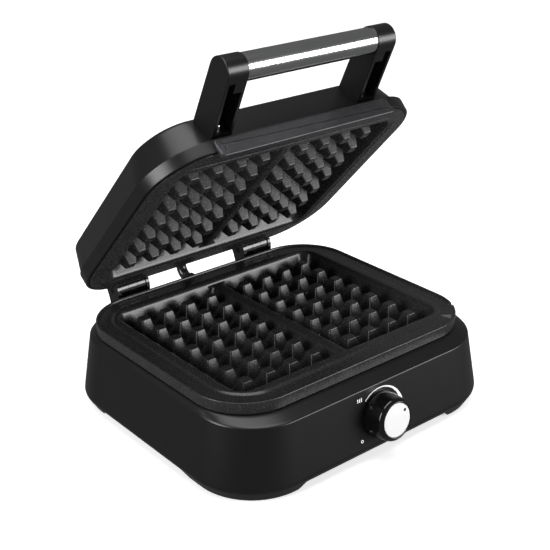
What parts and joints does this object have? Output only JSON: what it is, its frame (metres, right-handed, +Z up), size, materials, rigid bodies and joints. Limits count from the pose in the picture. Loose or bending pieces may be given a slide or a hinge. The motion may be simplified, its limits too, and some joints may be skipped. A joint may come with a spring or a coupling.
{
  "type": "waffle maker",
  "caption": "Countertop waffle maker with a hinged lid, twin rectangular peg plates, bar handle on two arms and a front temperature knob",
  "frame": {"origin": "on the plane the feet stand on, under the centre of the base", "axes": "+X to the right along the hinge axis, -Y to the front where the knob is, +Z up"},
  "size_m": [0.2994, 0.3064, 0.3308],
  "materials": {
    "casing_plastic": "satin black moulded plastic",
    "nonstick_coating": "dark grey nonstick coating on cast aluminium",
    "gloss_plastic": "polished black moulded plastic",
    "brushed_steel": "polished stainless steel",
    "silver_face": "brushed bright aluminium",
    "strip_metal": "dark grained aluminium",
    "foot_rubber": "moulded rubber",
    "dial_print": "white print",
    "black_print": "black print",
    "zinc_screws": "bright zinc plating",
    "heater_steel": "heat darkened steel sheath",
    "bright_sheet": "aluminised sheet steel",
    "brass_fittings": "turned brass",
    "ceramic_body": "steatite and phenolic",
    "wire_sleeve": "heat resistant sleeve"
  },
  "bodies": {
    "base": {"base_hinge_brackets": "gloss_plastic", "base_hinge_screws": "zinc_screws", "base_shell": "casing_plastic", "base_wiring": "wire_sleeve", "bottom_cover": "casing_plastic", "bottom_cover_screws": "zinc_screws", "conduit_gland_base": "gloss_plastic", "dial_marks": "dial_print", "hinge_pins": "brushed_steel", "lower_heat_reflector": "bright_sheet", "lower_heating_element": "heater_steel", "lower_plate": "nonstick_coating", "lower_plate_pegs": "nonstick_coating", "lower_plate_screws": "zinc_screws", "lower_plate_washers": "brushed_steel", "lower_reflector_screws": "zinc_screws", "mains_cord_gland": "gloss_plastic", "rubber_feet": "foot_rubber", "terminal_block": "ceramic_body", "thermal_fuse": "ceramic_body", "thermostat_body": "ceramic_body", "thermostat_bushing": "brass_fittings", "thermostat_nut": "brass_fittings", "wiring_conduit": "wire_sleeve"},
    "lid": {"lid_shell": "casing_plastic", "upper_plate": "nonstick_coating", "upper_plate_pegs": "nonstick_coating", "upper_plate_screws": "zinc_screws", "lid_screw_caps": "casing_plastic", "upper_heating_element": "heater_steel", "upper_heat_reflector": "bright_sheet", "lid_thermal_fuse": "ceramic_body", "front_lip": "strip_metal", "front_lip_screws": "zinc_screws", "handle_arm_left": "casing_plastic", "handle_arm_right": "casing_plastic", "handle_tube": "brushed_steel", "handle_screws": "zinc_screws", "lid_hinge_brackets": "gloss_plastic", "lid_hinge_screws": "zinc_screws", "conduit_gland_lid": "gloss_plastic"},
    "knob": {"control_knob": "gloss_plastic", "knob_face_disc": "silver_face", "knob_pointer_dot": "black_print", "thermostat_shaft": "brushed_steel"}
  },
  "joints": [
    {"name": "lid_hinge", "type": "hinge", "parent": "base", "child": "lid", "pos_m": [0, 0.1308, 0.084], "axis": [-1, 0, 0], "range_deg": [-46.5, 48.5], "deforming": ["wiring_conduit"]},
    {"name": "knob_turn", "type": "hinge", "parent": "base", "child": "knob", "pos_m": [0, -0.1296, 0.0376], "axis": [0, -0.9911, 0.1328], "range_deg": [-75, 179]}
  ]
}
